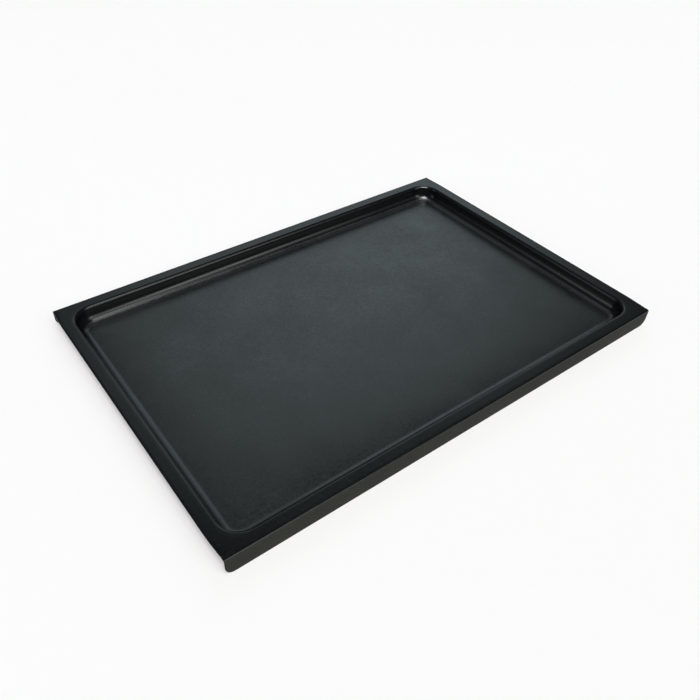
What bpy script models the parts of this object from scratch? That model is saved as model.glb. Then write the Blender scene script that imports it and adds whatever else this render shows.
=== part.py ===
"""Enamelled sheet-steel griddle tray.

A drawn pan with a flat rim lies between two flange strips.  Each strip turns down over one long
side and steps under the pan's rim, where a row of plug welds holds it.

World frame: +X along the long side, +Y to the rear, +Z up.  The origin is under the tray's
centre, level with the lower edges of the flanges, which the tray stands on.
"""

import math

import bmesh
import bpy

MM = 0.001

# Overall size
LENGTH = 460 * MM
WIDTH = 320 * MM
HEIGHT = 17 * MM
SHEET = 1.2 * MM
GAP = 0.3 * MM

# Pan: insets are measured inwards from the outer faces, depths downwards from the rim's top
RIM_WIDTH = 10 * MM
PLAN_RADIUS = 21 * MM
EDGE_RADIUS = 3.5 * MM
FLOOR_FILLET = 10 * MM
BASIN_DEPTH = 14 * MM
WALL_DRAFT = math.radians(10)
END_STEEPNESS = 0.82  # the short walls' run, as a share of the long walls'
CORNER_PULL = 1.2 * MM

# Flange strips
BEND_RADIUS = 1.5 * MM
LAND_WIDTH = 2.5 * MM
LEG_INSET = 10.2 * MM
LEG_LENGTH = 428 * MM
FOOT_RADIUS = 7.5 * MM

# Plug welds
WELDS_PER_FLANGE = 8
WELD_PITCH = 58 * MM
WELD_INSET = 7.5 * MM
WELD_RADIUS = 1.4 * MM
WELD_CROWN = 0.3 * MM

# Smoothness of the curved stretches
CORNER_STEPS = 8
EDGE_STEPS = 4
FILLET_STEPS = 6
BEND_STEPS = 6
FOOT_STEPS = 6
WELD_SIDES = 16
SHARP_ANGLE = math.radians(40)

# Values that follow from those above
SEAM_INSET = BEND_RADIUS + LAND_WIDTH
LEG_DEPTH = SHEET + GAP
QUADRANTS = ((1, 1), (-1, 1), (-1, -1), (1, -1))


def clear_scene():
    for obj in list(bpy.data.objects):
        bpy.data.objects.remove(obj, do_unlink=True)


def enamel(name, colour, roughness):
    """Glossy vitreous enamel, a non-metal."""
    material = bpy.data.materials.new(name)
    material.use_nodes = True
    shader = material.node_tree.nodes["Principled BSDF"]
    shader.inputs["Base Color"].default_value = (*colour, 1)
    shader.inputs["Roughness"].default_value = roughness
    shader.inputs["Metallic"].default_value = 0
    return material


def add_object(name, bm, material=None):
    """Turn a bmesh into a smooth-shaded object in the scene."""
    mesh = bpy.data.meshes.new(name)
    bm.to_mesh(mesh)
    bm.free()
    mesh.shade_smooth()
    mesh.set_sharp_from_angle(angle=SHARP_ANGLE)
    if material:
        mesh.materials.append(material)
    obj = bpy.data.objects.new(name, mesh)
    bpy.context.scene.collection.objects.link(obj)
    return obj


def thicken(obj):
    """Give a sheet's outer surface its thickness, on the side away from its normals."""
    solidify = obj.modifiers.new("Sheet", "SOLIDIFY")
    solidify.thickness = SHEET
    solidify.offset = -1
    solidify.use_even_offset = True


# ---------------------------------------------------------------------------------- griddle pan


def basin_profile():
    """(inset from the rim's inner edge, depth) down the wall, from the rim to the flat floor."""
    wall_angle = math.pi / 2 - WALL_DRAFT
    edge = []
    for step in range(EDGE_STEPS + 1):
        angle = wall_angle * step / EDGE_STEPS
        edge.append((EDGE_RADIUS * math.sin(angle), EDGE_RADIUS * (1 - math.cos(angle))))
    edge_inset, edge_depth = edge[-1]
    fillet_start = BASIN_DEPTH - FLOOR_FILLET * (1 - math.cos(wall_angle))
    wall_run = (fillet_start - edge_depth) * math.tan(WALL_DRAFT)
    fillet_centre = edge_inset + wall_run + FLOOR_FILLET * math.sin(wall_angle)
    fillet = []
    for step in range(FILLET_STEPS + 1):
        angle = wall_angle * (1 - step / FILLET_STEPS)
        depth = BASIN_DEPTH - FLOOR_FILLET * (1 - math.cos(angle))
        fillet.append((fillet_centre - FLOOR_FILLET * math.sin(angle), depth))
    return edge + fillet


def rim_corner(angle):
    """A point on the rim's outer edge from a corner's centre; the short edge draws in at the fold."""
    reach_x = RIM_WIDTH + PLAN_RADIUS
    reach_y = reach_x - SEAM_INSET - GAP
    slope_x, slope_y = math.cos(angle), math.sin(angle)
    longest = max(abs(slope_x), abs(slope_y))
    slope_x, slope_y = slope_x / longest, slope_y / longest
    return slope_x * (reach_x - CORNER_PULL * slope_y**2), slope_y * reach_y


def pan_ring(inset, depth):
    """One closed loop of points round the pan; inset None is the rim's square outer edge."""
    centre_x = LENGTH / 2 - RIM_WIDTH - PLAN_RADIUS
    centre_y = WIDTH / 2 - RIM_WIDTH - PLAN_RADIUS
    points = []
    for quadrant, (side_x, side_y) in enumerate(QUADRANTS):
        for step in range(CORNER_STEPS + 1):
            angle = math.pi / 2 * (quadrant + step / CORNER_STEPS)
            if inset is None:
                along_x, along_y = rim_corner(angle)
            else:
                along_x = (PLAN_RADIUS - END_STEEPNESS * inset) * math.cos(angle)
                along_y = (PLAN_RADIUS - inset) * math.sin(angle)
            points.append((side_x * centre_x + along_x, side_y * centre_y + along_y, HEIGHT - depth))
    return points


def build_pan(material):
    """Drawn basin with its rim: loops bridged from the rim's edge down to the flat floor."""
    bm = bmesh.new()
    outlines = [pan_ring(None, 0)]
    outlines += [pan_ring(inset, depth) for inset, depth in basin_profile()]
    rings = [[bm.verts.new(point) for point in outline] for outline in outlines]
    for outer, inner in zip(rings, rings[1:]):
        for here in range(len(outer)):
            after = (here + 1) % len(outer)
            bm.faces.new((outer[here], outer[after], inner[after], inner[here]))
    bm.faces.new(rings[-1])
    thicken(add_object("griddle_pan", bm, material))


# ---------------------------------------------------------------------------------- flange strips


def flange_profile(with_leg):
    """(inset, depth) of the strip's outer surface from its bend inwards: bend, land, step, leg."""
    profile = []
    for step in range(BEND_STEPS + 1):
        angle = math.pi / 2 * step / BEND_STEPS
        inset = BEND_RADIUS * (1 - math.cos(angle))
        depth = BEND_RADIUS * (1 - math.sin(angle))
        profile.append((inset, depth))
    profile.append((SEAM_INSET, 0))
    if with_leg:
        profile.append((SEAM_INSET, LEG_DEPTH))
        profile.append((LEG_INSET, LEG_DEPTH))
    return profile


def foot_outline():
    """(x, z) along the strip's lower edge: the leg's ends, then a rounded corner at each end."""
    half = LENGTH / 2 - CORNER_PULL
    right = [(LEG_LENGTH / 2, 0), (LEG_LENGTH / 2 + SHEET, 0)]
    for step in range(FOOT_STEPS + 1):
        angle = math.pi / 2 * step / FOOT_STEPS
        x = half - FOOT_RADIUS * (1 - math.sin(angle))
        right.append((x, FOOT_RADIUS * (1 - math.cos(angle))))
    left = [(-x, z) for x, z in reversed(right)]
    return left + right


def weld_positions():
    first = -WELD_PITCH * (WELDS_PER_FLANGE - 1) / 2
    return [first + WELD_PITCH * number for number in range(WELDS_PER_FLANGE)]


def build_flange(name, side, material):
    """One strip; side is -1 for the front and +1 for the rear.

    The leg stops short of the strip's ends, which leaves the short rims clear underneath.
    """
    bm = bmesh.new()
    columns = []
    for x, foot_z in foot_outline():
        column = [bm.verts.new((x, side * WIDTH / 2, foot_z))]
        for inset, depth in flange_profile(with_leg=abs(x) <= LEG_LENGTH / 2):
            column.append(bm.verts.new((x, side * (WIDTH / 2 - inset), HEIGHT - depth)))
        columns.append(column)
    for left, right in zip(columns, columns[1:]):
        for row in range(min(len(left), len(right)) - 1):
            corners = [left[row], right[row], right[row + 1], left[row + 1]]
            bm.faces.new(corners if side < 0 else reversed(corners))
    flange = add_object(name, bm, material)
    thicken(flange)
    holes = flange.modifiers.new("Plug weld holes", "BOOLEAN")
    holes.operation = "DIFFERENCE"
    holes.object = build_hole_cutter(name + "_holes", side)


def build_hole_cutter(name, side):
    """The round holes in a strip's leg, as one guide object of separate cylinders."""
    bm = bmesh.new()
    for x in weld_positions():
        drill = bmesh.ops.create_cone(
            bm,
            cap_ends=True,
            segments=WELD_SIDES,
            radius1=WELD_RADIUS + GAP,
            radius2=WELD_RADIUS + GAP,
            depth=4 * SHEET,
        )
        place = (x, side * (WIDTH / 2 - WELD_INSET), HEIGHT - LEG_DEPTH - SHEET / 2)
        bmesh.ops.translate(bm, verts=drill["verts"], vec=place)
    cutter = add_object(name, bm)
    cutter.hide_render = True
    cutter.display_type = "WIRE"
    return cutter


# ---------------------------------------------------------------------------------- plug welds


def build_weld(name, x, side, material):
    """A plug of weld in the leg's hole, with a bevelled crown just proud of the leg's underside."""
    top = HEIGHT - LEG_DEPTH
    bottom = top - SHEET - WELD_CROWN
    bm = bmesh.new()
    bmesh.ops.create_cone(
        bm,
        cap_ends=True,
        segments=WELD_SIDES,
        radius1=WELD_RADIUS,
        radius2=WELD_RADIUS,
        depth=top - bottom,
    )
    crown = [edge for edge in bm.edges if all(vert.co.z < 0 for vert in edge.verts)]
    bmesh.ops.bevel(bm, geom=crown, offset=WELD_CROWN, segments=1, affect="EDGES")
    plug = add_object(name, bm, material)
    plug.location = (x, side * (WIDTH / 2 - WELD_INSET), (top + bottom) / 2)


def build_tray():
    clear_scene()
    pan_enamel = enamel("pan_enamel", (0.030, 0.036, 0.039), 0.35)
    flange_enamel = enamel("flange_enamel", (0.036, 0.036, 0.034), 0.38)
    weld_enamel = enamel("weld_enamel", (0.022, 0.023, 0.024), 0.45)
    build_pan(pan_enamel)
    for end, side in (("front", -1), ("rear", 1)):
        build_flange(end + "_flange", side, flange_enamel)
        for number, x in enumerate(weld_positions(), start=1):
            build_weld(f"{end}_plug_weld_{number}", x, side, weld_enamel)


build_tray()
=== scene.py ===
"""Looks for the enamelled griddle tray: fine sheet-metal meshes, black enamel, a pale studio."""

import math

import bmesh
import bpy
from mathutils import Matrix, Vector, noise


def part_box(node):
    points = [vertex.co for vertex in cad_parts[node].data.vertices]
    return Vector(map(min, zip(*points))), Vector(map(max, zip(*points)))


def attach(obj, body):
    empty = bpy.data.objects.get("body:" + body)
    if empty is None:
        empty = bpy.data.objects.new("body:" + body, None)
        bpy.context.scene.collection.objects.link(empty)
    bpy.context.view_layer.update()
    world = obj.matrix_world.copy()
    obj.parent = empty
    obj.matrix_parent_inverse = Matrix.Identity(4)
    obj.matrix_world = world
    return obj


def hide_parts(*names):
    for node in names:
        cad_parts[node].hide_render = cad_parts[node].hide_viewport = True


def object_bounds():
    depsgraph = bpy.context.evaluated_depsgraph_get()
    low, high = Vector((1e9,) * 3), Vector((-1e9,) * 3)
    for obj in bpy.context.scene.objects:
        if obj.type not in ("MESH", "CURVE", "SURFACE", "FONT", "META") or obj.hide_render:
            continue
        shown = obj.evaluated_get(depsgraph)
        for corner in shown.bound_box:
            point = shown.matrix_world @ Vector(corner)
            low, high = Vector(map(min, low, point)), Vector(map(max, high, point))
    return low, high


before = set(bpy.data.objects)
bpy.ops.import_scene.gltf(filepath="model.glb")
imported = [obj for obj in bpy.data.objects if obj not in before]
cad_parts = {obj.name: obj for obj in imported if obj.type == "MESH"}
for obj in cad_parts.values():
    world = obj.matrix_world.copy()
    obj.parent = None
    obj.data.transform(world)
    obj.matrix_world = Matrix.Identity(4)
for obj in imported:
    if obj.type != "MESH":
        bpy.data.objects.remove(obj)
cad_low, cad_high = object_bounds()

MM = 0.001
BODY = "root"

# Overall size, from the frame
HALF_LENGTH = cad_high.x
HALF_WIDTH = cad_high.y
TOP = cad_high.z

# Sheet metal, the same shape as the solids it stands for
SHEET = 1.2 * MM
GAP = 0.3 * MM
RIM_WIDTH = 10 * MM
PLAN_RADIUS = 21 * MM
EDGE_RADIUS = 3.5 * MM
FLOOR_FILLET = 10 * MM
BASIN_DEPTH = 14 * MM
WALL_DRAFT = math.radians(10)
END_STEEPNESS = 0.82  # the short walls' run, as a share of the long walls'
CORNER_PULL = 1.2 * MM
BEND_RADIUS = 1.5 * MM
SEAM_INSET = 4 * MM
LEG_INSET = 10.2 * MM
LEG_LENGTH = 428 * MM
LEG_DEPTH = SHEET + GAP
FOOT_RADIUS = 7.5 * MM
EDGE_SOFTNESS = 0.35 * MM
MERGE_DISTANCE = 0.002 * MM

# Where the coats change: the basin's covers the floor and the foot of the wall. A flange's faces
# that look up more than LAND_UPRIGHT keep the rim's enamel; its other faces carry a painted
# reflection of the pale floor
BASIN_COAT_HEIGHT = 1 * MM
LAND_UPRIGHT = 0.2

# Mesh fineness
CORNER_STEPS = 24
LONG_STEPS = 60
SHORT_STEPS = 42
RIM_STEPS = 4
EDGE_STEPS = 12
WALL_STEPS = 3
FILLET_STEPS = 16
FLOOR_STEPS = 24
FLOOR_CROWDING = 1.7
FLOOR_MIDDLE = 1 * MM  # from the middle line to the corner centres of the floor's last loop
BEND_STEPS = 10
FOOT_STEPS = 14
BEVEL_STEPS = 3
SHARP_ANGLE = math.radians(32)
BEVEL_ANGLE = math.radians(50)

# The drawn floor climbs slightly from the foot of the wall, and is never quite flat.  The foot
# stands as far below the CAD's flat floor as the middle stands above it.
FLOOR_TILT = math.radians(3.8)
FLOOR_TILT_LENGTH = 17 * MM
FLOOR_RISE = FLOOR_TILT_LENGTH * math.tan(FLOOR_TILT)
FLOOR_WAVE = 0.16 * MM
FLOOR_WAVE_LENGTH = 120 * MM
FLOOR_WAVE_FADE = 40 * MM
FLOOR_WAVE_SLICE = 0.37


# ---------------------------------------------------------------------------------- mesh helpers


def finish_mesh(bm, name, material):
    """Turn a bmesh into a smooth-shaded object in the scene."""
    mesh = bpy.data.meshes.new(name)
    bm.to_mesh(mesh)
    bm.free()
    mesh.shade_smooth()
    mesh.set_sharp_from_angle(angle=SHARP_ANGLE)
    mesh.materials.append(material)
    obj = bpy.data.objects.new(name, mesh)
    bpy.context.scene.collection.objects.link(obj)
    return obj


def on_seam(edge):
    """Is this edge where the rim and a flange's land meet, ground flush?"""
    seam = HALF_WIDTH - SEAM_INSET
    return all(
        abs(abs(vert.co.y) - seam) < GAP and vert.co.z > TOP - LEG_DEPTH for vert in edge.verts
    )


def sheet_piece(surface, name, material):
    """Thicken an outer surface away from its normals, and soften the cut edges as enamel does."""
    raw = finish_mesh(surface, name + "_surface", material)
    solidify = raw.modifiers.new("Sheet", "SOLIDIFY")
    solidify.thickness = SHEET
    solidify.offset = -1
    solidify.use_even_offset = True
    solid = bmesh.new()
    solid.from_object(raw, bpy.context.evaluated_depsgraph_get())
    bpy.data.objects.remove(raw)
    cut = [
        edge
        for edge in solid.edges
        if edge.is_manifold and edge.calc_face_angle() > BEVEL_ANGLE and not on_seam(edge)
    ]
    bmesh.ops.bevel(
        solid, geom=cut, offset=EDGE_SOFTNESS, segments=BEVEL_STEPS, profile=0.5, affect="EDGES"
    )
    bmesh.ops.remove_doubles(solid, verts=solid.verts, dist=MERGE_DISTANCE)
    return finish_mesh(solid, name, material)


# ---------------------------------------------------------------------------------- griddle pan


def pan_loop(inset, floor_past=0):
    """A loop round the basin, anticlockwise from the right-hand side, with evenly split sides.

    The inset is from the rim's inner edge; floor_past goes on over the floor with the same corners.
    """
    centre_x = HALF_LENGTH - RIM_WIDTH - PLAN_RADIUS - floor_past
    centre_y = HALF_WIDTH - RIM_WIDTH - PLAN_RADIUS - floor_past
    radius_x, radius_y = PLAN_RADIUS - END_STEEPNESS * inset, PLAN_RADIUS - inset
    points = []
    for quadrant, (side_x, side_y) in enumerate(((1, 1), (-1, 1), (-1, -1), (1, -1))):
        centre = Vector((side_x * centre_x, side_y * centre_y))
        for step in range(CORNER_STEPS + 1):
            angle = math.pi / 2 * (quadrant + step / CORNER_STEPS)
            points.append(centre + Vector((radius_x * math.cos(angle), radius_y * math.sin(angle))))
        steps = SHORT_STEPS if quadrant % 2 else LONG_STEPS
        start = points[-1]
        reach = 2 * (centre_y if quadrant % 2 else centre_x)
        along = Vector((-side_x, 0)) if quadrant % 2 == 0 else Vector((0, -side_y))
        points += [start + along * reach * step / steps for step in range(1, steps)]
    return points


def rim_outline():
    """The rim's outer edge as a loop that pairs with pan_loop, with square corners."""
    half_y = HALF_WIDTH - SEAM_INSET
    corner = RIM_WIDTH + PLAN_RADIUS
    points = []
    for point in pan_loop(0):
        from_x = abs(point.x) - (HALF_LENGTH - corner)
        from_y = abs(point.y) - (HALF_WIDTH - corner)
        x, y = abs(point.x), abs(point.y)
        if from_x > 0 and from_y > 0:
            longest = max(from_x, from_y)
            y = HALF_WIDTH - corner + from_y / longest * (corner - SEAM_INSET)
            pull = CORNER_PULL * (from_y / longest) ** 2
            x = HALF_LENGTH - corner + from_x / longest * (corner - pull)
        elif from_x > from_y:
            x = HALF_LENGTH
        else:
            y = half_y
        points.append(Vector((math.copysign(x, point.x), math.copysign(y, point.y))))
    return points


def basin_profile():
    """(inset from the rim's inner edge, depth) from the rim down to the flat floor's edge."""
    steepest = math.pi / 2 - WALL_DRAFT
    edge = []
    for step in range(EDGE_STEPS + 1):
        angle = steepest * step / EDGE_STEPS
        edge.append((EDGE_RADIUS * math.sin(angle), EDGE_RADIUS * (1 - math.cos(angle))))
    wall_top, edge_depth = edge[-1]
    wall_end = BASIN_DEPTH - FLOOR_FILLET * (1 - math.cos(steepest))
    wall_drop = wall_end - edge_depth
    wall = []
    for step in range(1, WALL_STEPS):
        drop = wall_drop * step / WALL_STEPS
        wall.append((wall_top + drop * math.tan(WALL_DRAFT), edge_depth + drop))
    centre = wall_top + wall_drop * math.tan(WALL_DRAFT) + FLOOR_FILLET * math.sin(steepest)
    fillet = []
    for step in range(FILLET_STEPS + 1):
        angle = steepest - (steepest + FLOOR_TILT) * step / FILLET_STEPS
        depth = BASIN_DEPTH - FLOOR_FILLET * (1 - math.cos(angle))
        fillet.append((centre - FLOOR_FILLET * math.sin(angle), depth))
    return edge + wall + fillet


def floor_height(x, y, past):
    """How far the floor stands above the foot of the wall, a distance past it."""
    rise = FLOOR_RISE * (1 - math.exp(-past / FLOOR_TILT_LENGTH))
    fade = min(1, past / FLOOR_WAVE_FADE)
    place = Vector((x / FLOOR_WAVE_LENGTH, y / FLOOR_WAVE_LENGTH, FLOOR_WAVE_SLICE))
    return rise + FLOOR_WAVE * fade * fade * (3 - 2 * fade) * noise.noise(place)


def pan_surface():
    """The pan's upper surface: loops across the rim, down the wall and over the floor."""
    bm = bmesh.new()
    outer = rim_outline()
    inner = pan_loop(0)
    loops = []
    for step in range(RIM_STEPS):
        share = step / RIM_STEPS
        loops.append([(*a.lerp(b, share), TOP) for a, b in zip(outer, inner)])
    profile = basin_profile()
    stretch = 1 + FLOOR_RISE / 2 / BASIN_DEPTH
    for inset, depth in profile:
        loops.append([(*point, TOP - depth * stretch) for point in pan_loop(inset)])
    foot = loops[-1][0][2]
    last_past = HALF_WIDTH - RIM_WIDTH - PLAN_RADIUS - FLOOR_MIDDLE
    for step in range(1, FLOOR_STEPS + 1):
        past = last_past * (step / FLOOR_STEPS) ** FLOOR_CROWDING
        outline = pan_loop(profile[-1][0], past)
        loops.append([(*point, foot + floor_height(*point, past)) for point in outline])
    rings = [[bm.verts.new(point) for point in loop] for loop in loops]
    for outside, inside in zip(rings, rings[1:]):
        for here in range(len(outside)):
            after = (here + 1) % len(outside)
            bm.faces.new((outside[here], outside[after], inside[after], inside[here]))
    bm.faces.new(rings[-1])
    return bm


# ---------------------------------------------------------------------------------- flanges


def flange_profile(with_leg):
    """(inset, depth) of a strip's outer surface from its bend inwards."""
    profile = []
    for step in range(BEND_STEPS + 1):
        angle = math.pi / 2 * step / BEND_STEPS
        inset = BEND_RADIUS * (1 - math.cos(angle))
        profile.append((inset, BEND_RADIUS * (1 - math.sin(angle))))
    profile.append((SEAM_INSET, 0))
    if with_leg:
        profile += [(SEAM_INSET, LEG_DEPTH), (LEG_INSET, LEG_DEPTH)]
    return profile


def foot_outline():
    """(x, z) along a strip's lower edge, with rounded ends."""
    half = HALF_LENGTH - CORNER_PULL
    leg_end = LEG_LENGTH / 2
    right = [(leg_end * step / LONG_STEPS, 0) for step in range(LONG_STEPS + 1)]
    right.append((leg_end + SHEET, 0))
    for step in range(FOOT_STEPS + 1):
        angle = math.pi / 2 * step / FOOT_STEPS
        x = half - FOOT_RADIUS * (1 - math.sin(angle))
        right.append((x, FOOT_RADIUS * (1 - math.cos(angle))))
    left = [(-x, z) for x, z in reversed(right[1:])]
    return left + right


def flange_surface(side):
    """A strip's outer surface; side is -1 at the front and +1 at the rear."""
    bm = bmesh.new()
    columns = []
    for x, foot_z in foot_outline():
        column = [bm.verts.new((x, side * HALF_WIDTH, foot_z))]
        for inset, depth in flange_profile(with_leg=abs(x) <= LEG_LENGTH / 2):
            column.append(bm.verts.new((x, side * (HALF_WIDTH - inset), TOP - depth)))
        columns.append(column)
    for left, right in zip(columns, columns[1:]):
        for row in range(min(len(left), len(right)) - 1):
            corners = [left[row], right[row], right[row + 1], left[row + 1]]
            bm.faces.new(corners if side < 0 else reversed(corners))
    return bm


# ---------------------------------------------------------------------------------- plug welds

BEAD_RADIUS = 2.3 * MM
BEAD_HEIGHT = 0.45 * MM
BEAD_ROUGHNESS = 0.12 * MM
BEAD_LUMP = 1.5 * MM
BEAD_RINGS = 8
BEAD_SIDES = 28


def weld_bead(name, material):
    """A slightly uneven dome of weld over the hole in the flange's leg, seen from below."""
    low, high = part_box(name)
    centre_x, centre_y = (low.x + high.x) / 2, (low.y + high.y) / 2
    underside = TOP - LEG_DEPTH - SHEET
    bm = bmesh.new()
    rings = []
    for ring in range(BEAD_RINGS + 1):
        share = 1 - ring / BEAD_RINGS
        loop = []
        for side in range(BEAD_SIDES if ring < BEAD_RINGS else 1):
            angle = 2 * math.pi * side / BEAD_SIDES
            reach = BEAD_RADIUS * share
            along_x, along_y = reach * math.cos(angle), reach * math.sin(angle)
            place = Vector((centre_x + along_x, centre_y + along_y, 0))
            drop = BEAD_HEIGHT * math.sqrt(1 - share**2)
            uneven = BEAD_ROUGHNESS * noise.noise(place / BEAD_LUMP) * (1 - share)
            loop.append(bm.verts.new((place.x, place.y, underside - drop + uneven)))
        rings.append(loop)
    top = [bm.verts.new((vert.co.x, vert.co.y, underside + SHEET / 2)) for vert in rings[0]]
    bm.faces.new(top)
    for outside, inside in zip([top, *rings], rings):
        for here in range(BEAD_SIDES):
            after = (here + 1) % BEAD_SIDES
            if len(inside) > 1:
                bm.faces.new((outside[here], inside[here], inside[after], outside[after]))
            else:
                bm.faces.new((outside[here], inside[0], outside[after]))
    bmesh.ops.recalc_face_normals(bm, faces=bm.faces)
    return finish_mesh(bm, name + "_bead", material)


# ---------------------------------------------------------------------------------- node trees


# The range that most of a noise's values fall in, and where a dot starts to fade
NOISE_LOW, NOISE_HIGH = 0.3, 0.7
DOT_CORE = 0.5


class Nodes:
    """The node tree of a material or world, with short ways to add and join nodes."""

    def __init__(self, owner, coordinates):
        owner.use_nodes = True
        self.tree = owner.node_tree
        self.place = self.add("ShaderNodeTexCoord").outputs[coordinates]

    def add(self, kind, **settings):
        node = self.tree.nodes.new(kind)
        for key, value in settings.items():
            setattr(node, key, value)
        return node

    def join(self, source, target):
        self.tree.links.new(source, target)

    def noise(self, size, detail=3, roughness=0.5):
        """Noise whose features are about size metres across."""
        node = self.add("ShaderNodeTexNoise")
        node.inputs["Scale"].default_value = 1 / size
        node.inputs["Detail"].default_value = detail
        node.inputs["Roughness"].default_value = roughness
        self.join(self.place, node.inputs["Vector"])
        return node.outputs["Fac"]

    def map(self, source, low, high, to_low, to_high):
        node = self.add("ShaderNodeMapRange", clamp=True)
        self.join(source, node.inputs["Value"])
        limits = {"From Min": low, "From Max": high, "To Min": to_low, "To Max": to_high}
        for key, value in limits.items():
            node.inputs[key].default_value = value
        return node.outputs["Result"]

    def maths(self, operation, *values):
        node = self.add("ShaderNodeMath", operation=operation)
        for socket, value in zip(node.inputs, values):
            if isinstance(value, (int, float)):
                socket.default_value = value
            else:
                self.join(value, socket)
        return node.outputs["Value"]

    def mix(self, share, first, second):
        node = self.add("ShaderNodeMix", data_type="RGBA")
        self.join(share, node.inputs["Factor"])
        for key, value in (("A", first), ("B", second)):
            socket = next(s for s in node.inputs if s.name == key and s.type == "RGBA")
            if isinstance(value, tuple):
                socket.default_value = (*value, 1)
            else:
                self.join(value, socket)
        return next(s for s in node.outputs if s.type == "RGBA")

    def dots(self, spacing, share, radius):
        """Sparse round dots: one cell in share of a grid of cells spacing metres apart."""
        cells = self.add("ShaderNodeTexVoronoi", feature="F1")
        cells.inputs["Scale"].default_value = 1 / spacing
        self.join(self.place, cells.inputs["Vector"])
        edge = radius / spacing
        inside = self.map(cells.outputs["Distance"], edge * DOT_CORE, edge, 1, 0)
        chosen = self.add("ShaderNodeSeparateColor")
        self.join(cells.outputs["Color"], chosen.inputs["Color"])
        picked = self.maths("LESS_THAN", chosen.outputs["Red"], share)
        return self.maths("MULTIPLY", inside, picked)


# ---------------------------------------------------------------------------------- enamel

# Colour: broad mottling, fine grain and a few pale specks
MOTTLE_SIZE = 35 * MM
MOTTLE_LOW, MOTTLE_HIGH = 0.35, 0.65
GRAIN_SIZE = 1.8 * MM
GRAIN_SHARE = 0.75
SPECK_SPACING, SPECK_SHARE, SPECK_RADIUS = 6 * MM, 0.015, 0.35 * MM
SPECK_COLOUR = (0.22, 0.23, 0.23)

# Gloss: broad smears and a fine stipple
SMEAR_SIZE = 60 * MM
SMEAR_GLOSSY, SMEAR_DULL = -0.04, 0.05
STIPPLE_SIZE = 2.2 * MM

# Relief: orange peel, sand and pinholes
PEEL_SIZE, PEEL_HEIGHT = 2.2 * MM, 0.02 * MM
SAND_SIZE, SAND_HEIGHT = 0.7 * MM, 0.005 * MM
PIT_SPACING, PIT_SHARE, PIT_RADIUS, PIT_DEPTH = 4.5 * MM, 0.05, 0.25 * MM, 0.01 * MM

ENAMEL_IOR = 1.5
PAN_LOOK = {
    "dark": (0.0012, 0.0018, 0.0022),
    "light": (0.0058, 0.0068, 0.0074),
    "roughness": 0.2,
}
BASIN_LOOK = {
    "dark": (0.0005, 0.0015, 0.002),
    "light": (0.0105, 0.0125, 0.013),
    "roughness": 0.33,
    "specular": 1.0,
    "stipple": 0.06,
}
# The flanges' light, warm colour is a painted reflection of the pale floor in front of them, put in
# place of the enamel's own gloss, which is turned down to almost nothing
FLANGE_REFLECTION_LOOK = {
    "dark": (0.0225, 0.0225, 0.0195),
    "light": (0.0385, 0.0385, 0.033),
    "roughness": 0.62,
    "specular": 0.05,
}
WELD_LOOK = {
    "dark": (0.006, 0.006, 0.006),
    "light": (0.014, 0.014, 0.014),
    "roughness": 0.45,
}


def enamel(name, dark, light, roughness, specular=0.5, stipple=0.03):
    """Black vitreous enamel: mottled colour, orange-peel gloss, pinholes and a few pale specks."""
    material = bpy.data.materials.new(name)
    nodes = Nodes(material, "Object")
    shader = nodes.tree.nodes["Principled BSDF"]
    mottle = nodes.map(nodes.noise(MOTTLE_SIZE, detail=4), MOTTLE_LOW, MOTTLE_HIGH, 0, 1)
    grain = nodes.noise(GRAIN_SIZE, roughness=0.6)
    grain = nodes.map(grain, NOISE_LOW, NOISE_HIGH, 0, 1)
    mottle = nodes.maths("MULTIPLY", mottle, 1 - GRAIN_SHARE)
    grain = nodes.maths("MULTIPLY", grain, GRAIN_SHARE)
    colour = nodes.mix(nodes.maths("ADD", mottle, grain), dark, light)
    specks = nodes.dots(SPECK_SPACING, SPECK_SHARE, SPECK_RADIUS)
    colour = nodes.mix(specks, colour, SPECK_COLOUR)
    nodes.join(colour, shader.inputs["Base Color"])

    smear = nodes.noise(SMEAR_SIZE, detail=5, roughness=0.6)
    smear = nodes.map(smear, NOISE_LOW, NOISE_HIGH, SMEAR_GLOSSY, SMEAR_DULL)
    fine = nodes.noise(STIPPLE_SIZE, roughness=0.6)
    fine = nodes.map(fine, NOISE_LOW, NOISE_HIGH, -stipple, stipple)
    gloss = nodes.maths("ADD", nodes.maths("ADD", smear, fine), roughness)
    nodes.join(gloss, shader.inputs["Roughness"])

    peel = nodes.maths("MULTIPLY", nodes.noise(PEEL_SIZE, detail=2), PEEL_HEIGHT)
    sand = nodes.maths("MULTIPLY", nodes.noise(SAND_SIZE, detail=1), SAND_HEIGHT)
    pits = nodes.dots(PIT_SPACING, PIT_SHARE, PIT_RADIUS)
    pits = nodes.maths("MULTIPLY", pits, -PIT_DEPTH)
    height = nodes.maths("ADD", nodes.maths("ADD", peel, sand), pits)
    bump = nodes.add("ShaderNodeBump")
    bump.inputs["Strength"].default_value = 1
    bump.inputs["Distance"].default_value = 1
    nodes.join(height, bump.inputs["Height"])
    nodes.join(bump.outputs["Normal"], shader.inputs["Normal"])
    shader.inputs["Metallic"].default_value = 0
    shader.inputs["IOR"].default_value = ENAMEL_IOR
    shader.inputs["Specular IOR Level"].default_value = specular
    return material


# ---------------------------------------------------------------------------------- studio

FLOOR_RADIUS = 7.0
FLOOR_SIDES = 96
FLOOR_WHITE = (0.9, 0.9, 0.9)
FLOOR_SHADE = (0.891, 0.891, 0.8865)
FLOOR_SHADE_SIZE = 0.8
FLOOR_ROUGHNESS = 0.9
FLOOR_IOR = 1.1

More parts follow.
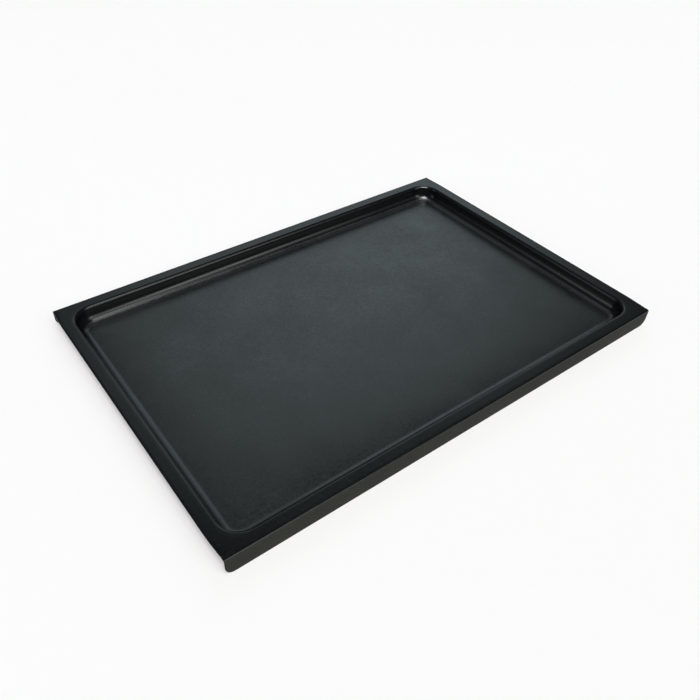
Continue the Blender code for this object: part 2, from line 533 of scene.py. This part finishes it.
# The studio's bright places: azimuth from +X towards +Y, elevation, spread (all in degrees),
# radiance and tint
DAYLIGHT = (0.84, 1.0, 1.03)
LAMPLIGHT = (1.0, 0.99, 0.93)
COOL_LAMPLIGHT = (0.87, 1.0, 0.95)
BRIGHT_PLACES = (
    (45, 33.4, 7.8, 0.96, DAYLIGHT),
    (65, 38.9, 7.8, 0.84, DAYLIGHT),
    (43, 5, 8, 0.65, DAYLIGHT),
    (-80, 62, 7.0, 6.8, COOL_LAMPLIGHT),
    (-68, 32, 6.0, 4.8, LAMPLIGHT),
    (161, 13, 6.5, 1.9, COOL_LAMPLIGHT),
    (138, 59, 12, 0.2, DAYLIGHT),
)
AMBIENT = 0.03

# The key light, a soft sun from the front left
KEY_AZIMUTH = -125
KEY_ELEVATION = 64
KEY_SPREAD = math.radians(28)
KEY_STRENGTH = 2.75
KEY_TINT = (1.0, 0.965, 0.975)


def studio_white():
    """Matt white with faint broad patches."""
    material = bpy.data.materials.new("studio_white")
    nodes = Nodes(material, "Object")
    shader = nodes.tree.nodes["Principled BSDF"]
    patches = nodes.map(nodes.noise(FLOOR_SHADE_SIZE, detail=1), NOISE_LOW, NOISE_HIGH, 0, 1)
    nodes.join(nodes.mix(patches, FLOOR_WHITE, FLOOR_SHADE), shader.inputs["Base Color"])
    shader.inputs["Roughness"].default_value = FLOOR_ROUGHNESS
    shader.inputs["IOR"].default_value = FLOOR_IOR
    return material


def make_floor():
    bm = bmesh.new()
    bmesh.ops.create_circle(bm, cap_ends=True, segments=FLOOR_SIDES, radius=FLOOR_RADIUS)
    finish_mesh(bm, "studio_floor", studio_white())


def towards(azimuth, elevation):
    """The unit vector to an azimuth, from +X towards +Y, and an elevation, in degrees."""
    turn, lift = math.radians(azimuth), math.radians(elevation)
    level = math.cos(lift)
    return Vector((math.cos(turn) * level, math.sin(turn) * level, math.sin(lift)))


def make_surroundings():
    """A dark studio with soft bright places round the tray."""
    world = bpy.data.worlds.new("studio")
    bpy.context.scene.world = world
    nodes = Nodes(world, "Generated")
    total = None
    for azimuth, elevation, spread, radiance, tint in BRIGHT_PLACES:
        facing = nodes.add("ShaderNodeVectorMath", operation="DOT_PRODUCT")
        facing.inputs[1].default_value = towards(azimuth, elevation)
        nodes.join(nodes.place, facing.inputs[0])
        away = nodes.maths("SUBTRACT", facing.outputs["Value"], 1)
        glow = nodes.maths("EXPONENT", nodes.maths("DIVIDE", away, math.radians(spread) ** 2))
        tinted = nodes.add("ShaderNodeVectorMath", operation="MULTIPLY_ADD")
        nodes.join(glow, tinted.inputs[0])
        tinted.inputs[1].default_value = [radiance * part for part in tint]
        if total is None:
            tinted.inputs[2].default_value = (AMBIENT, AMBIENT, AMBIENT)
        else:
            nodes.join(total, tinted.inputs[2])
        total = tinted.outputs["Vector"]
    nodes.join(total, nodes.tree.nodes["Background"].inputs["Color"])


def make_lights():
    data = bpy.data.lights.new("key_light", "SUN")
    data.energy = KEY_STRENGTH
    data.color = KEY_TINT
    data.angle = KEY_SPREAD
    light = bpy.data.objects.new("key_light", data)
    light.location = towards(KEY_AZIMUTH, KEY_ELEVATION)
    light.rotation_euler = light.location.to_track_quat("Z", "Y").to_euler()
    bpy.context.scene.collection.objects.link(light)


# ---------------------------------------------------------------------------------- camera

CAMERA_AZIMUTH = math.radians(-38.1)
CAMERA_ELEVATION = math.radians(41.5)
CAMERA_ROLL = math.radians(1.86)
CAMERA_DISTANCE = 609.9 * MM
CAMERA_AIM = Vector((-37.9 * MM, -41.3 * MM, TOP))
CAMERA_LENS = 35.86
SENSOR_WIDTH = 36
NEAREST_SEEN = 10 * MM


def make_camera():
    data = bpy.data.cameras.new("camera")
    data.lens = CAMERA_LENS
    data.sensor_width = SENSOR_WIDTH
    data.clip_start = NEAREST_SEEN
    camera = bpy.data.objects.new("camera", data)
    level = math.cos(CAMERA_ELEVATION)
    back = Vector((
        math.sin(CAMERA_AZIMUTH) * level,
        -math.cos(CAMERA_AZIMUTH) * level,
        math.sin(CAMERA_ELEVATION),
    ))
    turn = (-back).to_track_quat("-Z", "Y").to_matrix().to_4x4()
    roll = Matrix.Rotation(CAMERA_ROLL, 4, "Z")
    camera.matrix_world = Matrix.Translation(CAMERA_AIM + back * CAMERA_DISTANCE) @ turn @ roll
    bpy.context.scene.collection.objects.link(camera)
    bpy.context.scene.camera = camera


# ---------------------------------------------------------------------------------- the scene


def dress(piece, node):
    """Let a fine piece stand for a CAD node."""
    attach(piece, BODY)
    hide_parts(node)


def make_tray():
    pan_enamel = enamel("pan_enamel", **PAN_LOOK)
    basin_enamel = enamel("basin_enamel", **BASIN_LOOK)
    # The flange material carries a painted reflection of the pale floor as its colour
    flange_enamel = enamel("flange_enamel", **FLANGE_REFLECTION_LOOK)
    weld_enamel = enamel("weld_enamel", **WELD_LOOK)
    pan = sheet_piece(pan_surface(), "pan_shell", pan_enamel)
    pan.data.materials.append(basin_enamel)
    for face in pan.data.polygons:
        centre = face.center
        if centre.z < TOP - BASIN_DEPTH + BASIN_COAT_HEIGHT and face.normal.z > 0:
            face.material_index = 1
    dress(pan, "griddle_pan")
    for end, side in (("front", -1), ("rear", 1)):
        strip = sheet_piece(flange_surface(side), end + "_flange_shell", flange_enamel)
        strip.data.materials.append(pan_enamel)
        # Faces that look up keep the rim's enamel, the rest keep the flange's painted reflection of
        # the pale floor
        for face in strip.data.polygons:
            if face.normal.z > LAND_UPRIGHT:
                face.material_index = 1
        dress(strip, end + "_flange")
    for node in sorted(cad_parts):
        if "plug_weld" in node:
            dress(weld_bead(node, weld_enamel), node)


make_camera()
make_tray()
make_floor()
make_lights()
make_surroundings()
bpy.context.scene.view_settings.view_transform = "Standard"
